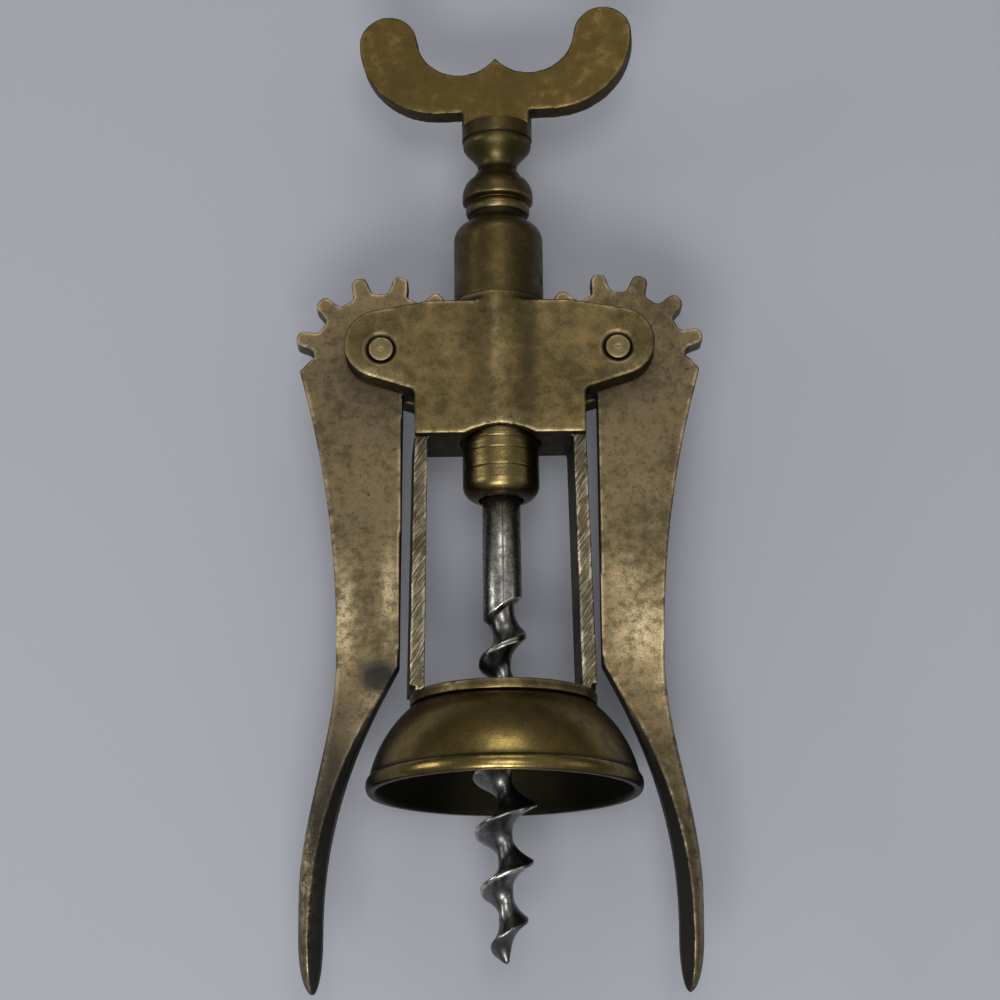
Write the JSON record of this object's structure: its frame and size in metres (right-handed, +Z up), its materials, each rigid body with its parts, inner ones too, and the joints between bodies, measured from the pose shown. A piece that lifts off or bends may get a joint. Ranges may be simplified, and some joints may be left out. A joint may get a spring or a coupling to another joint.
{
  "type": "wing corkscrew",
  "caption": "Wing corkscrew: a bell that seats on a bottle, geared side levers that drive a ringed rack, and a right-handed auger worm turned by a flat scrolled handle.",
  "frame": {"origin": "the middle of the box that holds the part, at its base, where the bell's rim rests on the table", "axes": "the part lies on its back, as pictured: +Y along the worm's axis towards the handle, +X towards the right-hand lever seen from the front, +Z up out of the front; the levers swing in the XY plane"},
  "size_m": [0.0642, 0.159, 0.0421],
  "materials": {
    "cast_brass": "cast, aged olive-brown patina, worn at the edges",
    "turned_brass": "turned, tarnished satin",
    "bell_brass": "spun and polished, tarnished gold",
    "handle_brass": "smooth, aged satin",
    "lever_bronze": "cast, greyish brown, pitted, bright at the grips",
    "filed_brass": "filed bright with diagonal marks",
    "pin_metal": "peened flush, dark",
    "screw_steel": "drawn steel, brown specks",
    "hidden_steel": "plain"
  },
  "bodies": {
    "frame": {"housing": "cast_brass", "neck_sleeve": "turned_brass", "neck_pin": "pin_metal", "left_strut": "filed_brass", "right_strut": "filed_brass", "bell_plate": "bell_brass", "bell": "bell_brass", "left_pivot_pin": "pin_metal", "right_pivot_pin": "pin_metal"},
    "left_lever": {"left_lever": "lever_bronze"},
    "right_lever": {"right_lever": "lever_bronze"},
    "rack": {"rack": "turned_brass", "rack_end_cap": "turned_brass"},
    "screw": {"stem": "turned_brass", "handle": "handle_brass", "worm": "screw_steel", "spindle_pin": "hidden_steel", "retaining_ring": "hidden_steel"}
  },
  "joints": [
    {"name": "left_lever_swing", "type": "hinge", "parent": "frame", "child": "left_lever", "pos_m": [-0.0185, 0.0194, 0.02105], "axis": [0, 0, -1], "range_deg": [0, 80]},
    {"name": "right_lever_swing", "type": "hinge", "parent": "frame", "child": "right_lever", "pos_m": [0.0185, 0.0194, 0.02105], "axis": [0, 0, 1], "range_deg": [0, 80]},
    {"name": "rack_slide", "type": "slide", "parent": "frame", "child": "rack", "axis": [0, -1, 0], "range_m": [0, 0.0185]},
    {"name": "screw_turn", "type": "hinge", "parent": "rack", "child": "screw", "pos_m": [0, 0.0106, 0.02105], "axis": [0, 1, 0], "continuous": true}
  ],
  "couplings": [
    {"joint": "right_lever_swing", "follows": "left_lever_swing", "ratio": 1},
    {"joint": "rack_slide", "follows": "left_lever_swing", "m_per_rad": 0.0132}
  ]
}
